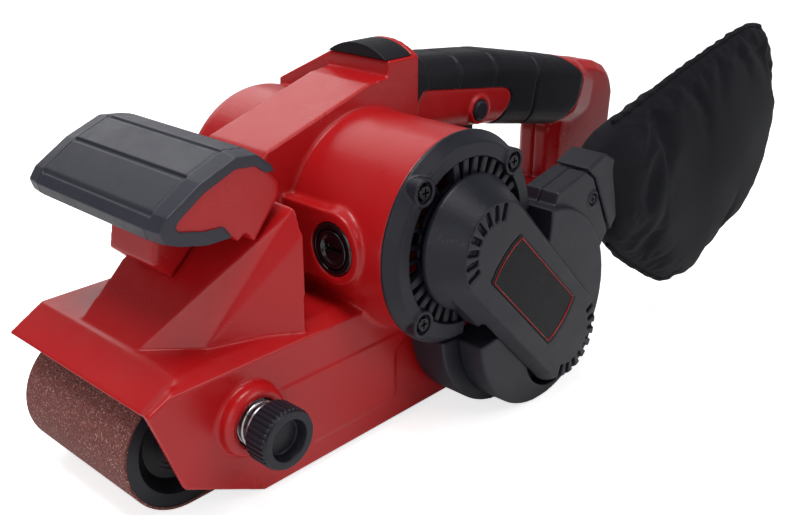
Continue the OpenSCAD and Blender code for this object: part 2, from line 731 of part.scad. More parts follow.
// Drive wheels: centre, radius, teeth, angle of the first tooth, half arc holding belt teeth
drive_wheels = [
  [motor, pinion_r, pinion_teeth, drive_angle, 80 - wrap_angle],
  [rear_roller, pulley_r, pulley_teeth, drive_angle + 180, 87 + wrap_angle]];

module drive_roller_core() color(alloy) difference() {
  rod_y(rear_roller, -roller_half, roller_half, roller_r - sleeve_t);
  rod_y(rear_roller, -40, 40, drive_shaft_r);
  tube_y(rear_roller, -38, -30, 22, 11);
  tube_y(rear_roller, 31, 38, 22, 11);
}
module drive_roller_sleeve() color(rubber) difference() {
  rod_y(rear_roller, -roller_half, roller_half, roller_r);
  rod_y(rear_roller, -40, 40, roller_r - sleeve_t);
  around(rear_roller, [0:20:340]) box(roller_r - 0.7, roller_r + 1, -36, 36, -0.8, 0.8);
}
module drive_shaft() color(steel) {
  rod_y(rear_roller, -roller_half, 77.9, drive_shaft_r);
  rod_y(rear_roller, 77.8, 97, shaft_end_r);
  rod_y(rear_roller, 37.6, 41.9, 8.5);
}
module drive_bearings() color(steel) {
  bearing(rear_roller, 42, 50, inner_bearing_r, drive_shaft_r + 0.03);
  bearing(rear_roller, 78, 84, outer_bearing_r, shaft_end_r + 0.03);
}
// Tooth gaps round a drive wheel, to cut away
module tooth_gaps(wheel, y1) {
  r = wheel[1];
  around(wheel[0], [for (i = [0:wheel[2] - 1]) i * 360 / wheel[2] + wheel[3]])
    slab(85.5, y1, [[r - 1, -0.5], [r + 1, -0.75], [r + 1, 0.75], [r - 1, 0.5]]);
}
module driven_pulley() color(pulley_grey) difference() {
  union() {
    rod_y(rear_roller, 85.4, 92.6, pulley_r);
    rod_y(rear_roller, 84.5, 85.5, pulley_r + 2);
  }
  rod_y(rear_roller, 84, 94, shaft_end_r);
  tube_y(rear_roller, 90, 93, 16.2, 9);
  tooth_gaps(drive_wheels[1], 93);
}
module pulley_nut() color(steel) difference() {
  at(rear_roller, 92.7) rotate([-90, 0, 0]) cylinder(h = 4, r = 9, $fn = 6);
  rod_y(rear_roller, 92, 98, shaft_end_r);
}
module dust_fan() color(pulley_grey) difference() {
  union() {
    rod_y(rear_roller, 75, 77.4, 19.5);
    rod_y(rear_roller, 63.4, 77.4, 9.5);
    around(rear_roller, [0:40:320])
      translate([9, 63.4, 0]) rotate([0, 25, 0]) cube([10, 12, 1.4]);
  }
  rod_y(rear_roller, 60, 80, drive_shaft_r);
}
// Solid loop round both drive wheels, grown by grow, with tangent sides
module drive_loop(grow, y0, y1) {
  for (wheel = drive_wheels) rod_y(wheel[0], y0, y1, wheel[1] + grow);
  slab(y0, y1, [for (k = [[0, 1], [1, 1], [1, -1], [0, -1]])
    let (wheel = drive_wheels[k[0]], a = drive_angle + k[1] * (90 + wrap_angle))
    wheel[0] + (wheel[1] + grow - 0.03) * [cos(a), sin(a)]]);
}
module toothed_belt() color("#17171A") {
  difference() {
    drive_loop(1.35, 85.7, 92.3);
    drive_loop(0.06, 85, 93);
  }
  along_y(85.7, 92.3) for (wheel = drive_wheels, i = [0:wheel[2] - 1]) {
    turn = i * 360 / wheel[2];
    r = wheel[1];
    if (abs(turn - 180) < wheel[4]) translate(wheel[0]) rotate(turn + wheel[3])
      polygon([[r - 0.7, -0.33], [r + 0.5, -0.42], [r + 0.5, 0.42], [r - 0.7, 0.33]]);
  }
}
module drive_pinion() color(steel) difference() {
  union() {
    rod_y(motor, 85.4, 92.6, pinion_r);
    rod_y(motor, 84.6, 85.5, pinion_r + 1.6);
    rod_y(motor, 92.5, 93.2, pinion_r + 1.6);
  }
  rod_y(motor, 84, 94, pinion_shaft_r);
  tooth_gaps(drive_wheels[0], 92.5);
}

// ---------- motor ----------
module motor_shaft() color(steel) {
  rod_y(motor, -55, 84.5, motor_shaft_r);
  rod_y(motor, 84.4, 96.5, pinion_shaft_r);
}
module armature_core() color("#55565A") difference() {
  rod_y(motor, -18, 30, 17);
  rod_y(motor, -20, 32, motor_shaft_r);
  around(motor, [0:30:330]) box(15.4, 18, -20, 32, -0.9, 0.9);
}
module armature_windings() color(copper) for (y = [-26, 30])
  at(motor, y) rotate([-90, 0, 0]) rotate_extrude() translate([motor_shaft_r, 0]) {
    square([9, 8]);
    translate([9, 4]) circle(3.9);
  }
module commutator() color("#B87333") difference() {
  rod_y(motor, 43, 58.5, 11);
  rod_y(motor, 42, 60, motor_shaft_r);
  around(motor, [0:15:345]) box(10.2, 12, 42, 56.5, -0.25, 0.25);
}
module cooling_fan() color(dark) difference() {
  union() {
    rod_y(motor, -44, -42, 28);
    rod_y(motor, -44, -30, 8);
    around(motor, [0:30:330]) box(7, 27, -42.5, -32, -0.9, 0.9);
  }
  rod_y(motor, -50, -20, motor_shaft_r);
}
module motor_bearings() color(steel) for (y = [-54, 70])
  bearing(motor, y, y + 7, motor_bearing_r, motor_shaft_r + 0.03);
// Two winding windows, one each side in X, drawn in by gap
module windows(gap) for (a = [0, 180]) rotate(a) difference() {
  intersection() {
    circle(25 - gap);
    polygon([[0, 0], [40, 24], [40, -24]]);
  }
  circle(18.4 + gap);
}
module stator_core() color("#6B6C70") at(motor) along_y(-18, 28) difference() {
  intersection() {
    circle(29.8);
    square([60, 56], center = true);
  }
  circle(17.6);
  windows(0);
}
module field_coils() color(copper) at(motor) along_y(-26, 34) windows(0.15);
// Both brush places, with +X pointing away from the motor axis
module brush_pair() for (a = [0, 180])
  translate([motor[0], brush_y, brush_z]) rotate([0, a, 0]) children();
module brush_holders() color("#B5A642") brush_pair() difference() {
  rod_x(0, 0, 11.8, 40.6, holder_r);
  box(10, 42, -4, 4, -2.6, 2.6);
}
module carbon_brushes() color("#26262A") brush_pair() box(11.08, 26, -3.9, 3.9, -2.5, 2.5);
module brush_springs() color(steel) brush_pair()
  translate([26.1, 0, 0]) rotate([0, 90, 0])
    coil(r = 1.9, wire_r = 0.35, turns = 5, h = 14.6, steps = 20);
module brush_caps() color(rubber) brush_pair() difference() {
  union() {
    rod_x(0, 0, 41, 48.6, cap_r);
    cone_x(48.55, 0, 0, 0.8, cap_r, 11);
  }
  // ring groove, centre dish and screwdriver slot
  translate([49.35, 0, 0]) rotate([0, 90, 0]) rotate_extrude()
    translate([8.4, -1.6]) square([1.2, 3]);
  cone_x(47.8, 0, 0, 2, 5.6, 7.2);
  box(45.6, 51, -5.4, 5.4, -1.2, 1.2);
}

// ---------- idler, tension and tracking ----------
carrier_arm_pts = [[34, 16.1], [60, 16.1], [86, 20], [95, 17.7], [95, 39.6], [84, 50], [66, 50],
  [34, 34]];
// Lever outline, [x, y]
lever_pts = [[14, -31.5], [20, -34], [34, -44], [60, -44.6], [64, -43], [64, -39.6],
  [60, -38.6], [36, -38.6], [26, -28]];

module idler_roller() color("#26262B") difference() {
  rod_y(front_roller, -roller_half, roller_half, roller_r);
  rod_y(front_roller, -23.9, 60, 6.6);
  rod_y(front_roller, 24, 40, idler_bearing_r);
  rod_y(front_roller, -35, -24, idler_bearing_r);
  rod_y(front_roller, -36, -20, 8);
  cone_y(front_roller, 37.6, 5, 22, 17, -1);
  cone_y(front_roller, -37.6, 2, 22, 20);
}
module idler_bearings() color(steel) for (y = [24, -32])
  bearing(front_roller, y, y + 8, idler_bearing_r, axle_r + 0.03);
module idler_axle() color(steel) rod_y(front_roller, -33.5, 46.4, axle_r);
module idler_carrier() color("#8C8F94") difference() {
  union() {
    box(-10, 60, 10.1, 40.8, 16.1, 25.95);
    box(34, 60, 10.1, 46.5, 16.1, 25.95);
    along_y(41.2, 46.5) {
      polygon(carrier_arm_pts);
      disc(front_roller, 11);
    }
    box(12, 34, 10.1, 40.8, 25.9, 33);
    box(12, 34, -36, 10.2, 28, 33);
    rod_y(front_roller, 37.7, 41.3, 8.4);
  }
  rod_y(front_roller, 30, 48, axle_r);
  // slot for the peg of the tension lever
  box(23.4, 30.1, -34.7, -23.3, 27, 34);
  box(46, 70, 30, 41.1, 10, 60);
  box(0, 56, 17, 30, 19, 27);
}
module tension_spring() color(steel) translate([-39.9, 25, 21]) rotate([0, 90, 0])
  coil(r = 3.6, wire_r = 0.6, turns = 7, h = 29.8, steps = 14);
module tension_lever() color(red) {
  rod_z(lever_x, lever_y, 36, 45.9, 8);
  rod_z(lever_x, lever_y, 45.8, 51.9, 4);
  rod_z(lever_x + 6, lever_y, 28.2, 36.1, 2.5);
  difference() {
    translate([0, 0, 37]) linear_extrude(6.5) polygon(lever_pts);
    for (i = [0:4]) rod_z(44 + i * 4, -45.1, 36, 45, 1);
  }
}
module tracking_knob() color(dark) difference() {
  union() {
    rod_y(tracking, 70, 82, knob_r - 0.7);
    around(tracking, [for (i = [0:knob_ribs - 1]) i * 360 / knob_ribs])
      box(knob_r - 1.5, knob_r, 70.6, 80.6, -0.62, 0.62);
  }
  rod_y(tracking, 60, 75.6, 3);
  cone_y(tracking, 82.1, 5.1, 8.9, 7.8, -1);
}
module tracking_screw() color(steel) {
  rod_y(tracking, 46.6, 75.5, 3);
  rod_y(tracking, 46.9, 48.4, 5);
}
module tracking_spring() color(steel) at(tracking, 58.6) rotate([-90, 0, 0])
  coil(r = 9.2, wire_r = 0.9, turns = 4, h = 11.3, steps = 24);

// ---------- fasteners ----------
// Cross-slotted screws with the underside of the head at y, facing +Y
module pan_screws(places, y, r, head_r, head_h, length)
  for (p = places) at(p, y) rotate([-90, 0, 0]) difference() {
    union() {
      translate([0, 0, -length]) cylinder(h = length + 0.5, r = r);
      cylinder(h = head_h, r1 = head_r, r2 = head_r * 0.72);
    }
    for (a = [0, 90]) rotate(a)
      translate([-head_r * 0.5, -0.4, head_h - 1.1]) cube([head_r, 0.8, 3]);
  }
module ring_screws() color(steel)
  pan_screws(ring_holes, y = 83, r = 1.9, head_r = 4, head_h = 2, length = 15);
module duct_screws() color(steel)
  pan_screws(duct_holes, y = 88.4, r = 1.6, head_r = 2.9, head_h = 1.6, length = 14);
module handle_screws() color(steel)
  pan_screws(handle_holes, y = 10, r = 1.6, head_r = 3.7, head_h = 2, length = 18);

main_housing();
motor_end_ring();
drive_cover();
badge_plate();
fan_housing_inner();
fan_housing_outer();
bag_collar();
dust_bag();
handle_shell_left();
handle_shell_right();
handle_grip();
head_pad();
front_handle_core();
front_handle_grip();
trigger();
trigger_pin();
switch_module();
lock_button();
cord_boot();
power_cord();
chassis();
platen_sheet();
cork_pad();
platen_screws();
sanding_belt();
drive_roller_core();
drive_roller_sleeve();
drive_shaft();
drive_bearings();
driven_pulley();
pulley_nut();
dust_fan();
toothed_belt();
drive_pinion();
motor_shaft();
armature_core();
armature_windings();
commutator();
cooling_fan();
motor_bearings();
stator_core();
field_coils();
brush_holders();
carbon_brushes();
brush_springs();
brush_caps();
idler_roller();
idler_bearings();
idler_axle();
idler_carrier();
tension_spring();
tension_lever();
tracking_knob();
tracking_screw();
tracking_spring();
ring_screws();
duct_screws();
handle_screws();
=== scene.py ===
# Handheld belt sander standing on its belt: moulded forms, fine detail and materials for the
# packed assembly. Metres in the part's own frame, +Z up, badge facing +Y, dust bag toward -X.
# Lengths written in millimetres are multiplied by MM.
import math, json
import bpy, bmesh
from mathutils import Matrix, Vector, noise

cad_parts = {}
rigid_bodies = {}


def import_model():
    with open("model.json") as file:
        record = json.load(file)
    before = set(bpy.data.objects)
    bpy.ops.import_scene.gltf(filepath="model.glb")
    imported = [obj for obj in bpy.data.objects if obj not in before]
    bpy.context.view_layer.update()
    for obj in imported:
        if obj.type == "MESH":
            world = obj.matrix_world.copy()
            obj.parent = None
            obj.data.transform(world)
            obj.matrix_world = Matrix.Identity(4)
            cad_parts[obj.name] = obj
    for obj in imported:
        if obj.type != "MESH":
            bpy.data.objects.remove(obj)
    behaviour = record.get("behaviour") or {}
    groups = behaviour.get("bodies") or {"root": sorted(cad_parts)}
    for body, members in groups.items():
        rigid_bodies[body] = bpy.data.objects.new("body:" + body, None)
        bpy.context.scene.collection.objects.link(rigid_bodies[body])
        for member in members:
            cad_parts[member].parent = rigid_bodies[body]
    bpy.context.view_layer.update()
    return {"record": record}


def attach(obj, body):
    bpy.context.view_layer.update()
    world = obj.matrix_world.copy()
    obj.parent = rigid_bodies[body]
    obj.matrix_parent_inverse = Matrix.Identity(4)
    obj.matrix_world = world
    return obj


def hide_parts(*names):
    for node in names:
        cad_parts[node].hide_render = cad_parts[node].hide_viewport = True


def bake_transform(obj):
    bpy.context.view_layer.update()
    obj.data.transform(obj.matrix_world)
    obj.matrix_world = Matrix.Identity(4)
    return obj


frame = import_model()
MM = 0.001
BODY = {node: body for body, nodes in frame["record"]["behaviour"]["bodies"].items()
        for node in nodes}
scene = bpy.context.scene


# ------------------------------------------------------------------ shader building
MID = (0.3, 0.7)  # the band that holds most of a noise's values
SURFACE_INPUTS = {
    "color": "Base Color", "rough": "Roughness", "metal": "Metallic", "normal": "Normal",
    "spec": "Specular IOR Level", "coat": "Coat Weight", "coat_rough": "Coat Roughness",
    "sheen": "Sheen Weight", "sheen_rough": "Sheen Roughness",
    "glow_color": "Emission Color", "glow": "Emission Strength",
}


class Shader:
    """A material with one Principled surface, textured in object coordinates."""

    def __init__(self, name):
        self.material = bpy.data.materials.new(name)
        self.material.use_nodes = True
        self.tree = self.material.node_tree
        self.tree.nodes.clear()
        output = self.tree.nodes.new("ShaderNodeOutputMaterial")
        self.surface = self.tree.nodes.new("ShaderNodeBsdfPrincipled")
        self.tree.links.new(self.surface.outputs[0], output.inputs[0])
        self.coords = self.tree.nodes.new("ShaderNodeTexCoord").outputs["Object"]

    def wire(self, socket, value):
        """Link a socket, or set a plain value; colours are given as RGB."""
        if isinstance(value, bpy.types.NodeSocket):
            self.tree.links.new(value, socket)
        elif socket.type == "RGBA":
            socket.default_value = (*value, 1)
        else:
            socket.default_value = value

    def node(self, kind, inputs=None, **props):
        made = self.tree.nodes.new(kind)
        for key, value in props.items():
            setattr(made, key, value)
        for key, value in (inputs or {}).items():
            self.wire(made.inputs[key], value)
        return made

    def noise(self, scale, detail=2.0, rough=0.5, vector=None, distortion=0.0):
        return self.node("ShaderNodeTexNoise", {
            "Vector": vector or self.coords, "Scale": scale, "Detail": detail,
            "Roughness": rough, "Distortion": distortion}).outputs["Fac"]

    def wave(self, scale, axis, distortion, detail_scale=1.0):
        return self.node("ShaderNodeTexWave", {
            "Vector": self.coords, "Scale": float(scale), "Distortion": distortion,
            "Detail": 1.0, "Detail Scale": detail_scale}, bands_direction=axis).outputs["Fac"]

    def cells(self, scale):
        """A random value for each Voronoi cell, and the distance from its centre."""
        cell = self.node("ShaderNodeTexVoronoi", {"Vector": self.coords, "Scale": scale})
        split = self.node("ShaderNodeSeparateColor", {"Color": cell.outputs["Color"]})
        return split.outputs[0], cell.outputs["Distance"]

    def ramp(self, fac, stops):
        made = self.node("ShaderNodeValToRGB", {"Fac": fac})
        elements = made.color_ramp.elements
        while len(elements) < len(stops):
            elements.new(0.5)
        for element, (position, color) in zip(elements, stops):
            element.position = position
            element.color = (*color, 1)
        return made.outputs["Color"]

    def mix(self, fac, first, second):
        # inputs 6 and 7 are the Mix node's colour pair, output 2 its colour
        return self.node("ShaderNodeMix", {0: fac, 6: first, 7: second},
                         data_type="RGBA").outputs[2]

    def remap(self, value, span, to):
        return self.node("ShaderNodeMapRange", {
            "Value": value, "From Min": span[0], "From Max": span[1],
            "To Min": to[0], "To Max": to[1]}).outputs["Result"]

    def math(self, operation, first, second):
        return self.node("ShaderNodeMath", {0: first, 1: second},
                         operation=operation).outputs[0]

    def bump(self, height, distance, strength=1.0, normal=None):
        inputs = {"Height": height, "Distance": distance, "Strength": strength}
        if normal is not None:
            inputs["Normal"] = normal
        return self.node("ShaderNodeBump", inputs).outputs["Normal"]

    def edges(self, amount):
        """Rises to amount on convex edges."""
        geometry = self.node("ShaderNodeNewGeometry")
        return self.remap(geometry.outputs["Pointiness"], span=(0.52, 0.60), to=(0.0, amount))

    def finish(self, **values):
        for key, value in values.items():
            self.wire(self.surface.inputs[SURFACE_INPUTS[key]], value)
        return self.material


def scaled(color, gain, lift=0.0):
    return [min(1, x * gain + lift) for x in color]


# ------------------------------------------------------------------ materials
def plastic(name, base, light, rough, grain, grain_scale, coat=0.0, edge=0.3, mottle=0.12,
            spec=0.5):
    """Moulded plastic: mottled, finely grained, paler on edges, with a little dust."""
    n = Shader(name)
    big = n.noise(scale=18, detail=3, rough=0.55)
    fine = n.noise(scale=grain_scale, rough=0.6)
    dust = n.noise(scale=95, detail=5, rough=0.65, distortion=0.4)
    color = n.mix(n.remap(big, span=MID, to=(0, mottle)), base, light)
    color = n.mix(n.remap(fine, span=(0.35, 0.75), to=(0, mottle * 0.5)), color, light)
    color = n.mix(n.edges(edge), color, light)
    color = n.mix(n.remap(dust, span=(0.55, 0.8), to=(0, 0.10)), color,
                  scaled(base, gain=0.6, lift=0.02))
    roughness = n.math("ADD", n.remap(big, span=MID, to=(rough - 0.05, rough + 0.05)),
                       n.remap(dust, span=(0.4, 0.8), to=(-0.03, 0.08)))
    coarse = n.noise(scale=grain_scale * 0.3)
    height = n.math("ADD", fine, n.math("MULTIPLY", coarse, 0.7))
    normal = n.bump(height, distance=grain, strength=0.9)
    normal = n.bump(n.noise(scale=45), distance=0.00025, strength=0.12, normal=normal)
    return n.finish(color=color, rough=roughness, normal=normal, coat=coat, coat_rough=0.25,
                    spec=spec)


def metal(name, base, dark, rough, axis=1, stretch=1.0, wear=0.35):
    """Metal whose fine noise is drawn out along one axis (0, 1, 2 for X, Y, Z)."""
    n = Shader(name)
    scale = [900.0, 900.0, 900.0]
    scale[axis] = 900.0 / stretch
    stretched = n.node("ShaderNodeMapping", {"Vector": n.coords, "Scale": scale}).outputs[0]
    brush = n.noise(scale=1.0, detail=3, rough=0.6, vector=stretched)
    mottle = n.noise(scale=60, detail=4, rough=0.6)
    color = n.mix(n.remap(brush, span=MID, to=(0, 0.5)), base, dark)
    color = n.mix(n.remap(mottle, span=(0.45, 0.8), to=(0, wear)), color, dark)
    color = n.mix(n.edges(0.5), color, scaled(base, gain=1.25))
    roughness = n.math("ADD", n.remap(brush, span=MID, to=(rough - 0.08, rough + 0.1)),
                       n.remap(mottle, span=(0.4, 0.8), to=(0, 0.15)))
    return n.finish(color=color, rough=roughness, metal=1.0,
                    normal=n.bump(brush, distance=0.00002, strength=0.6))


def grit():
    n = Shader("abrasive_grit")
    grain, distance = n.cells(scale=1900)
    speck = n.noise(scale=1500, detail=3, rough=0.7)
    big = n.noise(scale=60, detail=4, rough=0.6)
    color = n.ramp(grain, [
        (0.0, (0.06, 0.012, 0.010)), (0.35, (0.17, 0.040, 0.034)),
        (0.72, (0.27, 0.078, 0.066)), (0.92, (0.36, 0.13, 0.11)), (1.0, (0.66, 0.42, 0.36))])
    # pale specks, dark pits, then a broad tint
    for source, span, amount, tint in [(speck, (0.63, 0.71), 0.75, (0.50, 0.30, 0.26)),
                                       (speck, (0.38, 0.29), 0.8, (0.045, 0.010, 0.009)),
                                       (big, (0.35, 0.7), 0.35, (0.22, 0.062, 0.052))]:
        color = n.mix(n.remap(source, span=span, to=(0, amount)), color, tint)
    height = n.math("ADD", distance, n.math("MULTIPLY", speck, 1.2))
    return n.finish(color=color, rough=n.remap(grain, span=(0, 1), to=(0.55, 0.9)),
                    normal=n.bump(height, distance=0.0004), spec=0.4)


def belt_backing():
    n = Shader("belt_backing")
    warp = n.wave(scale=420, axis="X", distortion=0.6)
    weft = n.wave(scale=420, axis="Y", distortion=0.6)
    color = n.mix(n.math("MULTIPLY", warp, weft), (0.16, 0.09, 0.06), (0.33, 0.22, 0.15))
    return n.finish(color=color, rough=0.85,
                    normal=n.bump(n.math("ADD", warp, weft), distance=0.0002, strength=0.6))


def woven(name, base, light, sheen, scale=560):
    """Woven cloth with raised threads, broad shading and pale fuzz."""
    n = Shader(name)
    broad = n.noise(scale=12, detail=3)
    warp = n.wave(scale=scale, axis="X", distortion=0.8, detail_scale=2.0)
    weft = n.wave(scale=scale, axis="Z", distortion=0.8, detail_scale=2.0)
    weave = n.math("MAXIMUM", warp, weft)
    fuzz = n.noise(scale=1800, detail=3, rough=0.7)
    color = n.mix(n.remap(weave, span=(0.2, 1.0), to=(0, 0.55)), base, light)
    color = n.mix(n.remap(broad, span=(0.35, 0.7), to=(0, 0.35)), color,
                  scaled(base, gain=0.65))
    color = n.mix(n.remap(fuzz, span=(0.6, 0.8), to=(0, 0.3)), color, scaled(light, gain=2.0))
    height = n.math("ADD", weave, n.math("MULTIPLY", fuzz, 0.4))
    normal = n.bump(height, distance=0.00016, strength=0.7)
    return n.finish(color=color, rough=n.remap(broad, span=MID, to=(0.62, 0.8)),
                    normal=normal, sheen=sheen, sheen_rough=0.4, spec=0.16)


def cork():
    n = Shader("cork")
    grain, distance = n.cells(scale=420)
    color = n.ramp(grain, [(0, (0.16, 0.08, 0.035)), (0.5, (0.36, 0.21, 0.10)),
                           (1, (0.52, 0.34, 0.18))])
    return n.finish(color=color, rough=0.9,
                    normal=n.bump(distance, distance=0.0004, strength=0.7))


MATERIALS = {
    "red": plastic("red_plastic", base=(0.40, 0.0055, 0.008), light=(0.52, 0.014, 0.010),
                   rough=0.33, grain=0.000022, grain_scale=2400, coat=0.10, mottle=0.14,
                   spec=0.36),
    "dark": plastic("dark_plastic", base=(0.0085, 0.0088, 0.0140), light=(0.030, 0.031, 0.044),
                    rough=0.42, grain=0.00005, grain_scale=1900, edge=0.5, mottle=0.2,
                    spec=0.30),
    "grey": plastic("grey_plastic", base=(0.023, 0.0235, 0.034), light=(0.055, 0.056, 0.075),
                    rough=0.40, grain=0.00005, grain_scale=1900, edge=0.5, mottle=0.2,
                    spec=0.36),
    "black": plastic("gloss_black", base=(0.0028, 0.0028, 0.004), light=(0.012, 0.012, 0.015),
                     rough=0.15, grain=0.00001, grain_scale=1500, coat=0.3, spec=0.45),
    "badge": plastic("badge_black", base=(0.0030, 0.0030, 0.0045),
                     light=(0.010, 0.010, 0.013), rough=0.30, grain=0.00001,
                     grain_scale=1500, edge=0.2, spec=0.10),
    "rubber": plastic("soft_rubber", base=(0.0040, 0.0041, 0.0070),
                      light=(0.014, 0.014, 0.021), rough=0.52, grain=0.00006,
                      grain_scale=1500, edge=0.35, mottle=0.25, spec=0.26),
    "roller": plastic("roller_black", base=(0.0045, 0.0045, 0.0062),
                      light=(0.020, 0.020, 0.026), rough=0.40, grain=0.00002,
                      grain_scale=1200, edge=0.5, mottle=0.3, spec=0.36),
    "steel": metal("machined_steel", base=(0.50, 0.50, 0.52), dark=(0.24, 0.24, 0.26),
                   rough=0.28, stretch=60),
    "screw": metal("screw_steel", base=(0.035, 0.035, 0.04), dark=(0.012, 0.012, 0.014),
                   rough=0.24, stretch=4),
    "alloy": metal("cast_alloy", base=(0.42, 0.42, 0.44), dark=(0.2, 0.2, 0.22), rough=0.45,
                   wear=0.5),
    "lam": metal("lamination_steel", base=(0.28, 0.28, 0.3), dark=(0.12, 0.12, 0.13),
                 rough=0.4),
    "copper": metal("copper_wire", base=(0.62, 0.27, 0.12), dark=(0.3, 0.1, 0.04), rough=0.34,
                    axis=0, stretch=12.0),
    "brass": metal("brass", base=(0.66, 0.48, 0.2), dark=(0.4, 0.26, 0.09), rough=0.3,
                   stretch=60),
    "carbon": plastic("carbon", base=(0.012, 0.012, 0.013), light=(0.05, 0.05, 0.05),
                      rough=0.5, grain=0.00003, grain_scale=1800),
    "grit": grit(),
    "backing": belt_backing(),
    "cork": cork(),
    "cloth": woven("bag_cloth", base=(0.0022, 0.0024, 0.0050),
                   light=(0.0060, 0.0064, 0.0105), sheen=0.03),
    "hem": woven("bag_binding", base=(0.0030, 0.0032, 0.0058), light=(0.009, 0.0095, 0.014),
                 sheen=0.05, scale=900),
    "thread": woven("thread", base=(0.012, 0.012, 0.017), light=(0.03, 0.03, 0.037),
                    sheen=0.1, scale=1500),
}


# ------------------------------------------------------------------ mesh helpers
def clamp(value):
    return max(0.0, min(1.0, value))


def add(name, data):
    obj = bpy.data.objects.new(name, data)
    scene.collection.objects.link(obj)
    return obj


def evaluated(obj):
    graph = bpy.context.evaluated_depsgraph_get()
    return bpy.data.meshes.new_from_object(obj.evaluated_get(graph))


def shade_smooth(mesh):
    for face in mesh.polygons:
        face.use_smooth = True


def bridge(bm, rings):
    """Faces between each ring of vertices and the next."""
    for ring, following in zip(rings, rings[1:]):
        for k in range(len(ring)):
            j = (k + 1) % len(ring)
            bm.faces.new((ring[k], ring[j], following[j], following[k]))


def to_mesh(bm, name, recalc=True, smooth=True):
    if recalc:
        bmesh.ops.recalc_face_normals(bm, faces=bm.faces)
    mesh = bpy.data.meshes.new(name)
    bm.to_mesh(mesh)
    bm.free()
    if smooth:
        shade_smooth(mesh)
    return mesh


def dress(obj, material, body):
    obj.data.materials.clear()
    obj.data.materials.append(MATERIALS[material])
    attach(obj, body)


def stand_in(obj, node, material):
    """Dress an object as a CAD node and put it in that node's place."""
    dress(obj, material, BODY[node])
    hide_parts(node)


def soften(node, material, voxel, steps):
    """A CAD node rebuilt with every edge rounded: voxel remesh, then smoothing."""
    obj = add(node + "_form", bpy.data.objects[node].data.copy())
    remesh = obj.modifiers.new("r", "REMESH")
    remesh.mode = "VOXEL"
    remesh.voxel_size = voxel * MM * 1.0
    remesh.adaptivity = 0.0
    remesh.use_smooth_shade = True
    smooth = obj.modifiers.new("s", "SMOOTH")
    smooth.factor = 0.5
    smooth.iterations = steps
    mesh = evaluated(obj)
    obj.modifiers.clear()
    sharp = obj.data
    obj.data = mesh
    bpy.data.meshes.remove(sharp)
    shade_smooth(mesh)
    stand_in(obj, node, material)


def keep(node, material, width):
    """A CAD node kept as it is, with a material, a small bevel and a shading angle."""
    obj = bpy.data.objects[node]
    obj.data.materials.clear()
    obj.data.materials.append(MATERIALS[material])
    if width:
        bevel = obj.modifiers.new("edge", "BEVEL")
        bevel.width = width * MM
        bevel.segments = 2
        bevel.limit_method = "ANGLE"
        bevel.angle_limit = math.radians(32)
        bevel.use_clamp_overlap = True
        bevel.harden_normals = False
        bevel.miter_outer = "MITER_ARC"
    shade_smooth(obj.data)
    obj.data.set_sharp_from_angle(angle=math.radians(35))


def sweep(name, points, radius, sides=12, closed=False, flat=1.0):
    """A tube along a list of points (metres); flat scales one axis of its section."""
    bm = bmesh.new()
    count = len(points)
    path = [Vector(p) for p in points]
    rings = []
    up = None
    for i, point in enumerate(path):
        before = path[(i - 1) % count] if closed or i > 0 else point
        after = path[(i + 1) % count] if closed or i < count - 1 else point
        along = (after - before).normalized()
        if up is None:
            up = along.orthogonal().normalized()
        up = (up - along * up.dot(along)).normalized()
        side = along.cross(up)
        angles = [2 * math.pi * k / sides for k in range(sides)]
        rings.append([bm.verts.new(
            point + (up * math.cos(a) + side * math.sin(a) * flat) * radius) for a in angles])
    bridge(bm, rings + rings[:1] if closed else rings)
    if not closed:
        bm.faces.new(rings[0][::-1])
        bm.faces.new(rings[-1])
    return add(name, to_mesh(bm, name))


def coil(node, name, origin, axis, radius, wire, turns, length):
    """A steel spring from origin along axis; half a turn lies flat at each end."""
    axis = Vector(axis)
    u = axis.orthogonal().normalized()
    v = axis.cross(u)
    steps = int(turns * 40)
    points = []
    for i in range(steps + 1):
        t = i / steps
        rise = clamp((t * turns - 0.5) / (turns - 1.0))
        a = 2 * math.pi * turns * t
        points.append(Vector(origin) + axis * (wire + (length - 2 * wire) * rise)
                      + (u * math.cos(a) + v * math.sin(a)) * radius)
    obj = sweep(name, points, wire)
    stand_in(obj, node, "steel")
    return obj


# ------------------------------------------------------------------ camera, light, floor
AZIMUTH, ELEVATION = math.radians(133.25), math.radians(22.62)
# from the scene toward the camera
TO_CAMERA = Vector((math.sin(AZIMUTH) * math.cos(ELEVATION),
                    -math.cos(AZIMUTH) * math.cos(ELEVATION), math.sin(ELEVATION)))


def aim(obj, direction):
    obj.rotation_mode = "QUATERNION"
    obj.rotation_quaternion = direction.to_track_quat("-Z", "Y")


def build_camera():
    data = bpy.data.cameras.new("camera")
    camera = add("camera", data)
    data.sensor_width = 36.0
    data.lens = 45.91
    data.clip_start, data.clip_end = 0.01, 20
    camera.location = (0.29068, 0.33903, 0.25574)
    aim(camera, -TO_CAMERA)
    scene.camera = camera


# name, location, target, size of the square (m), power (W)
LIGHTS = [
    ("key", (0.15, 0.05, 1.2), (-0.05, 0.02, 0.06), 0.55, 9.5),
    ("fill", (1.0, 0.45, 0.45), (-0.05, 0.03, 0.06), 0.7, 2.6),
    ("side", (-0.45, 1.05, 0.75), (-0.1, 0.05, 0.08), 0.6, 4.0),
    ("rim", (-0.3, -0.9, 0.8), (-0.05, 0, 0.1), 0.8, 3.0),
]


def build_light(name, location, target, size, power):
    data = bpy.data.lights.new(name, "AREA")
    data.energy = power
    data.shape = "RECTANGLE"
    data.size = data.size_y = size
    light = add(name, data)
    light.location = location
    aim(light, Vector(target) - Vector(location))


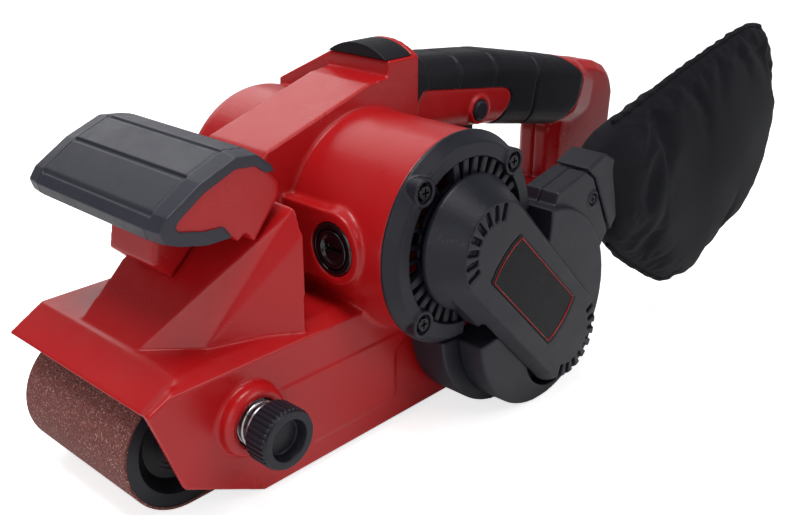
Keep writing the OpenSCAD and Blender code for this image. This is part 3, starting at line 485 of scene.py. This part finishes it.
def build_world():
    """A pale surround, dimmer where it is seen in reflections."""
    world = bpy.data.worlds.new("studio")
    scene.world = world
    world.use_nodes = True
    tree = world.node_tree
    background = tree.nodes["Background"]
    background.inputs[0].default_value = (0.96, 0.97, 1.0, 1)
    rays = tree.nodes.new("ShaderNodeLightPath")
    level = tree.nodes.new("ShaderNodeMapRange")
    tree.links.new(rays.outputs["Is Glossy Ray"], level.inputs["Value"])
    level.inputs["To Min"].default_value = 0.27
    level.inputs["To Max"].default_value = 0.15
    tree.links.new(level.outputs["Result"], background.inputs[1])
    scene.view_settings.view_transform = "Standard"
    scene.view_settings.look = "None"


def floor_material():
    """Near-white floor that glows only to the camera."""
    n = Shader("studio_floor")
    broad = n.noise(scale=9, detail=4, rough=0.6)
    n.finish(color=n.mix(n.remap(broad, span=MID, to=(0, 0.5)),
                         (0.90, 0.90, 0.90), (0.88, 0.88, 0.885)),
             rough=n.remap(broad, span=MID, to=(0.55, 0.65)),
             normal=n.bump(n.noise(scale=900), distance=0.00002, strength=0.3))
    rays = n.node("ShaderNodeLightPath")
    return n.finish(glow_color=(1, 1, 1),
                    glow=n.math("MULTIPLY", rays.outputs["Is Camera Ray"], 0.70))


def build_floor():
    """Floor that runs away from the camera and curves up into a wall."""
    near, bend, radius, top, half_width = 3.0, -1.1, 0.9, 3.5, 4.0
    drop = 0.0004  # gap under the belt
    material = floor_material()
    profile = [(near, 0.0), (bend, 0.0)]
    profile += [(bend - radius * math.sin(a * math.pi / 24),
                 radius - radius * math.cos(a * math.pi / 24)) for a in range(1, 13)]
    profile.append((bend - radius, top))
    toward = Vector((TO_CAMERA.x, TO_CAMERA.y)).normalized()
    across = Vector((-toward.y, toward.x))
    bm = bmesh.new()
    rows = [[bm.verts.new((toward.x * s + across.x * k, toward.y * s + across.y * k, z - drop))
             for k in (-half_width, half_width)] for s, z in profile]
    for a, b in zip(rows, rows[1:]):
        bm.faces.new((a[0], a[1], b[1], b[0]))
    floor = add("floor", to_mesh(bm, "floor", recalc=False))
    floor.data.materials.append(material)


build_camera()
for light_row in LIGHTS:
    build_light(*light_row)
build_world()
build_floor()

# ------------------------------------------------------------------ CAD pieces
# node, material, voxel size (mm), smoothing steps
SOFTENED = [
    ("main_housing", "red", 0.8, 5), ("front_handle_core", "red", 0.7, 6),
    ("front_handle_grip", "grey", 0.45, 3), ("handle_shell_left", "red", 0.8, 8),
    ("handle_shell_right", "red", 0.8, 8), ("handle_grip", "rubber", 0.6, 6),
    ("drive_cover", "dark", 0.45, 4), ("fan_housing_outer", "dark", 0.6, 4),
    ("fan_housing_inner", "dark", 0.7, 4), ("motor_end_ring", "dark", 0.5, 3),
    ("bag_collar", "dark", 0.6, 4), ("head_pad", "rubber", 0.5, 4),
    ("trigger", "dark", 0.5, 6), ("cord_boot", "rubber", 0.5, 3),
    ("chassis", "alloy", 0.9, 3), ("idler_carrier", "roller", 0.7, 3),
    ("tension_lever", "red", 0.5, 3), ("tracking_knob", "dark", 0.32, 2),
    ("brush_caps", "black", 0.4, 3),
]
# node, material, bevel width (mm)
KEPT = [
    ("badge_plate", "badge", 0.25), ("lock_button", "dark", 0.3),
    ("trigger_pin", "steel", 0.2), ("switch_module", "dark", 0.4),
    ("power_cord", "rubber", 0.0), ("platen_sheet", "steel", 0.0), ("cork_pad", "cork", 0.2),
    ("platen_screws", "steel", 0.1), ("drive_roller_core", "alloy", 0.5),
    ("drive_roller_sleeve", "rubber", 0.15), ("drive_shaft", "steel", 0.4),
    ("drive_bearings", "steel", 0.3), ("driven_pulley", "dark", 0.1),
    ("pulley_nut", "steel", 0.3), ("dust_fan", "dark", 0.2), ("toothed_belt", "rubber", 0.0),
    ("drive_pinion", "steel", 0.08), ("motor_shaft", "steel", 0.3),
    ("armature_core", "lam", 0.15), ("armature_windings", "copper", 0.0),
    ("commutator", "copper", 0.05), ("cooling_fan", "dark", 0.2),
    ("motor_bearings", "steel", 0.25), ("stator_core", "lam", 0.2),
    ("field_coils", "copper", 0.5), ("brush_holders", "brass", 0.2),
    ("carbon_brushes", "carbon", 0.15), ("idler_roller", "roller", 0.6),
    ("idler_bearings", "roller", 0.25), ("idler_axle", "roller", 0.4),
    ("tracking_screw", "steel", 0.15), ("ring_screws", "screw", 0.12),
    ("duct_screws", "screw", 0.1), ("handle_screws", "screw", 0.12),
    ("brush_springs", "steel", 0.0), ("sanding_belt", "grit", 0.0),
]


def back_the_belt():
    """Faces that look into the belt's loop get the cloth backing."""
    low_x, high_x, mid_z = -0.084, 0.095, 0.02865  # centre line of the loop
    belt = bpy.data.objects["sanding_belt"]
    belt.data.materials.append(MATERIALS["backing"])
    for face in belt.data.polygons:
        centre = belt.matrix_world @ face.center
        axis = Vector((min(high_x, max(low_x, centre.x)), centre.y, mid_z))
        if face.normal.dot(centre - axis) < 0 and abs(face.normal.y) < 0.5:
            face.material_index = 1


def build_springs():
    coil("tracking_spring", "tracking_coil", origin=(0.077, 0.0586, 0.041), axis=(0, 1, 0),
         radius=0.0092, wire=0.0009, turns=4, length=0.0113)
    tension = coil("tension_spring", "tension_coil", origin=(-0.0399, 0.025, 0.021),
                   axis=(1, 0, 0), radius=0.0036, wire=0.0006, turns=8, length=0.0298)
    # the blend needs a free object, so any parent is dropped with the placing kept
    if tension.parent is not None:
        placed = tension.matrix_world.copy()
        tension.parent = None
        tension.matrix_world = placed
    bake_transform(tension)


# corners of the badge plate: x, z (mm)
BADGE = [(-41.5, 97.9), (-35.6, 95.2), (-29.8, 90.9), (-24.9, 86.1), (-21.7, 81.2),
         (-67.8, 34.7), (-73.2, 36.6), (-79, 41), (-84.4, 46.6), (-88.1, 52.3)]


def build_badge_outline():
    """Thin red line just inside the edge of the badge plate."""
    centre_x, centre_z, inset, face_y = -54.8, 66.5, 0.93, 0.10062
    line = []
    for (x, z), (next_x, next_z) in zip(BADGE, BADGE[1:] + BADGE[:1]):
        for k in range(6):
            t = k / 6
            line.append((
                (centre_x + (x + (next_x - x) * t - centre_x) * inset) * MM, face_y,
                (centre_z + (z + (next_z - z) * t - centre_z) * inset) * MM))
    outline = sweep("badge_outline", line, radius=0.00036, sides=8, closed=True, flat=0.5)
    dress(outline, "red", "frame")


for soft_row in SOFTENED:
    soften(*soft_row)
for kept_row in KEPT:
    keep(*kept_row)
back_the_belt()
build_springs()
build_badge_outline()

# ------------------------------------------------------------------ dust bag (mm)
# upper and lower edge of the bag in its middle plane, mouth to tail: x, z
TOP = [(-121, 112.5), (-133, 120.0), (-150, 125.5), (-168, 130.0), (-198, 137.5),
       (-228, 144.5), (-258, 150.5), (-280, 153.6), (-296, 152), (-308, 144), (-317, 131),
       (-324, 112), (-327, 92)]
BOTTOM = [(-136.5, 77.5), (-140.5, 66), (-150, 54.5), (-165, 43), (-180, 33.5), (-196, 24),
          (-212, 16.5), (-226, 15), (-240, 20), (-258, 25.5), (-278, 30), (-294, 37),
          (-308, 49), (-319, 67), (-327, 91.9)]
MID_Y = 80.5
MOUTH_HALF, BODY_HALF, TAIL_HALF = 9.3, 16.5, 0.9  # half widths along y
BAG_RINGS, RING_POINTS = ((110, 88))


def curve(points, count):
    """Catmull-Rom curve through the points, resampled evenly by length."""
    knots = [Vector(p) for p in points]
    dense = []
    for i in range(len(knots) - 1):
        p0, p1, p2, p3 = (knots[max(0, i - 1)], knots[i], knots[i + 1],
                          knots[min(len(knots) - 1, i + 2)])
        for k in range(24):
            t = k / 24
            dense.append(0.5 * ((2 * p1) + (p2 - p0) * t + (2 * p0 - 5 * p1 + 4 * p2 - p3) * t * t
                                + (3 * p1 - p0 - 3 * p2 + p3) * t ** 3))
    dense.append(knots[-1])
    lengths = [0]
    for a, b in zip(dense, dense[1:]):
        lengths.append(lengths[-1] + (b - a).length)
    even, j = [], 0
    for i in range(count):
        s = lengths[-1] * i / (count - 1)
        while j < len(lengths) - 2 and lengths[j + 1] < s:
            j += 1
        t = (s - lengths[j]) / max(1e-9, lengths[j + 1] - lengths[j])
        even.append(dense[j].lerp(dense[j + 1], clamp(t)))
    return even


OUTLINE = [(p.x, p.y) for p in curve(TOP, 60) + curve(BOTTOM, 60)[::-1]]


def inside_gap(x, z):
    """Distance from a point of the middle plane to the bag's outline, negative outside."""
    best = 1e9
    inside = False
    for (ax, az), (bx, bz) in zip(OUTLINE, OUTLINE[1:] + OUTLINE[:1]):
        dx, dz = bx - ax, bz - az
        t = clamp(((x - ax) * dx + (z - az) * dz) / max(1e-9, dx * dx + dz * dz))
        best = min(best, math.hypot(x - ax - dx * t, z - az - dz * t))
        if (az > z) != (bz > z) and x < ax + (z - az) / (bz - az) * dx:
            inside = not inside
    return best if inside else -best


def half_width(u):
    """Half width at u, from 0 at the mouth to 1 at the tail."""
    full_from, full_to = 0.13, 0.42
    if u < full_from:
        t = u / full_from
        return MOUTH_HALF + (BODY_HALF - MOUTH_HALF) * (t * t * (3 - 2 * t))
    if u < full_to:
        return BODY_HALF
    t = (u - full_to) / (1 - full_to)
    return TAIL_HALF + (BODY_HALF - TAIL_HALF) * (1 - t ** 1.5)


def bag_form():
    """The plain bag: rings that go from boxy at the mouth to oval, then remeshed."""
    bm = bmesh.new()
    rings = []
    for i, (a, b) in enumerate(zip(curve(TOP, BAG_RINGS), curve(BOTTOM, BAG_RINGS))):
        u = i / (BAG_RINGS - 1)
        centre, half = (a + b) / 2, (a - b) / 2
        width = half_width(u)
        boxy = max(0.0, 1 - u / 0.12)
        ring = []
        for k in range(RING_POINTS):
            angle = 2 * math.pi * k / RING_POINTS
            cos, sin = math.cos(angle), math.sin(angle)
            z = math.copysign(abs(cos) ** (0.95 - 0.5 * boxy), cos)
            y = math.copysign(abs(sin) ** (0.92 - 0.45 * boxy), sin)
            ring.append(bm.verts.new(Vector((
                centre.x + half.x * z, MID_Y + y * width, centre.y + half.y * z)) * MM))
        rings.append(ring)
    bridge(bm, rings)
    bm.faces.new(rings[0][::-1])
    bmesh.ops.remove_doubles(bm, verts=bm.verts, dist=1e-6)
    bag = add("dust_bag_cloth", to_mesh(bm, "bag", smooth=False))
    remesh = bag.modifiers.new("r", "REMESH")
    remesh.mode = "VOXEL"
    remesh.voxel_size = 3.4 * MM
    mesh = evaluated(bag)
    bag.modifiers.clear()
    bag.data = mesh
    return bag


def fill(bag):
    """Slack cloth, held at the mouth and bound edge, is pushed out by a small pressure."""
    last_frame = 20
    reach = 3.4  # limit on how far the cloth moves
    rest = [v.co.copy() for v in bag.data.vertices]
    pin = bag.vertex_groups.new(name="pin")
    for v in bag.data.vertices:
        x, y, z = (v.co / MM)[:]
        mouth = clamp((x + 158) / 16)
        edge = clamp(1 - (inside_gap(x, z) - 1.5) / 5.0)
        pin.add([v.index], max(mouth, edge * 0.75), "REPLACE")
    cloth = bag.modifiers.new("cloth", "CLOTH")
    settings = cloth.settings
    settings.quality = 6
    settings.mass = 0.25
    settings.tension_stiffness = 18
    settings.compression_stiffness = 6
    settings.shear_stiffness = 5
    settings.bending_stiffness = 0.05
    settings.use_pressure = True
    settings.uniform_pressure_force = 4.0
    settings.vertex_group_mass = "pin"
    settings.pin_stiffness = 1.0
    settings.shrink_min = -0.075  # negative: the cloth grows
    settings.effector_weights.gravity = 0.0
    cloth.collision_settings.use_collision = False
    cloth.point_cache.frame_start = 1
    cloth.point_cache.frame_end = last_frame
    start = scene.frame_current
    for f in range(1, last_frame + 1):
        scene.frame_set(f)
        filled = evaluated(bag)
        if f < last_frame:
            bpy.data.meshes.remove(filled)
    bag.modifiers.clear()
    scene.frame_set(start)
    for a, v in zip(rest, filled.vertices):
        d = (v.co - a) / MM
        m = d.length
        if m > 1e-9:
            d *= reach * math.tanh(m / reach) / m
        v.co = a + d * MM
    bag.data = filled


def fold_depth(x, z, side):
    """Outward depth of the folds at a point on one side (1 or -1) of the bag."""
    # gathers that fan out from the mouth and die away along the bag
    fan = math.atan2(z - 96, -(x + 96))
    fade = math.exp(-max(0.0, -x - 140) / 34.0)
    wander = 1.6 * noise.noise(Vector((x * 0.02, side * 3.0, z * 0.02)))
    fold = 1.5 * fade * math.sin(fan * 17 + wander) * clamp((-x - 138) / 14)
    # long soft drapes
    fold += 1.5 * noise.noise(Vector((x * 0.012 + z * 0.010, side * 7.7,
                                      (z * 0.8 - x * 0.5) * 0.034)))
    gap = inside_gap(x, z)
    if gap > 0:
        fold *= clamp(gap / 16) * 0.8 + 0.2
        # puckers that run in from the bound edge
        around = math.atan2(z - 85, x + 235)
        wander = 2.0 * noise.noise(Vector((x * 0.03, z * 0.03, side * 1.0)))
        fold += (0.75 * math.exp(-gap / 9.0) * math.sin(around * 46 + wander)
                 * min(1.0, gap / 3.0) * clamp((-x - 150) / 20))
    return fold


def build_bag():
    bag = bag_form()
    fill(bag)
    for v in bag.data.vertices:
        x, y, z = (v.co / MM)[:]
        side = 1 if y > MID_Y else -1
        # no folds at the mouth or on the middle plane
        ease = clamp((-x - 134) / 20) * clamp((-x - 140) / 60 + 0.35)
        v.co.y += side * fold_depth(x, z, side) * MM * clamp(abs(y - MID_Y) / 7.0) * ease
    subdivide = bag.modifiers.new("s", "SUBSURF")
    subdivide.levels = subdivide.render_levels = 1
    mesh = evaluated(bag)
    bag.modifiers.clear()
    bag.data = mesh
    shade_smooth(mesh)
    dress(bag, "cloth", "dust_bag")
    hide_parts("dust_bag")


def seam_stations():
    """Along the outline: point, outward normal, sideways ruffle, outward shift, direction."""
    skip = 14  # stations left bare at the mouth
    path = curve(TOP, 150)[skip:] + curve(BOTTOM, 150)[::-1][1:-skip]
    points = [Vector((p.x, 0, p.y)) for p in path]
    centre = Vector((-232, 0, 84))
    stations = []
    for i, p in enumerate(points):
        along = (points[min(len(points) - 1, i + 1)] - points[max(0, i - 1)]).normalized()
        normal = Vector((along.z, 0, -along.x))
        if normal.dot(p - centre) < 0:
            normal = -normal
        ruffle = math.sin(i * 0.95) * 0.75 + noise.noise(Vector((i * 0.21, 2.2, 0))) * 1.3
        shift = (0.6 + 0.35 * math.sin(i * 0.53 + 1.0)
                 + 0.4 * noise.noise(Vector((i * 0.17, 5.5, 0))))
        stations.append((p, normal, ruffle, shift, along))
    return stations


def build_binding(stations):
    """Ruffled tape along the outline, oval in section."""
    half_depth, half_thick = 1.5, 0.9
    bm = bmesh.new()
    rings = []
    for p, normal, ruffle, shift, _ in stations:
        ring = []
        for k in range(12):
            angle = 2 * math.pi * k / 12
            cos = math.cos(angle)
            q = p + normal * (shift * 0.5 + half_depth * cos)
            y = MID_Y + ruffle * 0.7 * (0.5 + 0.5 * cos) + half_thick * math.sin(angle)
            ring.append(bm.verts.new(Vector((q.x, y, q.z)) * MM))
        rings.append(ring)
    bm.faces.new(rings[0][::-1])
    bridge(bm, rings)
    bm.faces.new(rings[-1])
    dress(add("bag_seam_binding", to_mesh(bm, "hem")), "hem", "dust_bag")


def build_stitches(stations):
    """Short arched threads on both faces of the binding."""
    length, arch, thread, face_y = 1.5, 0.16, 0.2, 0.95
    bm = bmesh.new()
    for p, normal, ruffle, shift, along in stations[2:-2:2]:
        for side in (-1, 1):
            a = Vector((p.x, MID_Y + ruffle * 0.35 + side * face_y, p.z)) + normal * shift * 0.5
            b = a + along * length
            up = Vector((0, side, 0))
            rings = []
            for k in range(5):
                c = a.lerp(b, k / 4) + up * (arch * math.sin(math.pi * k / 4))
                angles = [math.pi * j / 3 for j in range(6)]
                rings.append([bm.verts.new(
                    (c + (normal * math.cos(t) + up * math.sin(t)) * thread) * MM)
                    for t in angles])
            bridge(bm, rings)
            bm.faces.new(rings[0][::-1])
            bm.faces.new(rings[-1])
    dress(add("bag_stitches", to_mesh(bm, "stitches")), "thread", "dust_bag")


build_bag()
seam = seam_stations()
build_binding(seam)
build_stitches(seam)
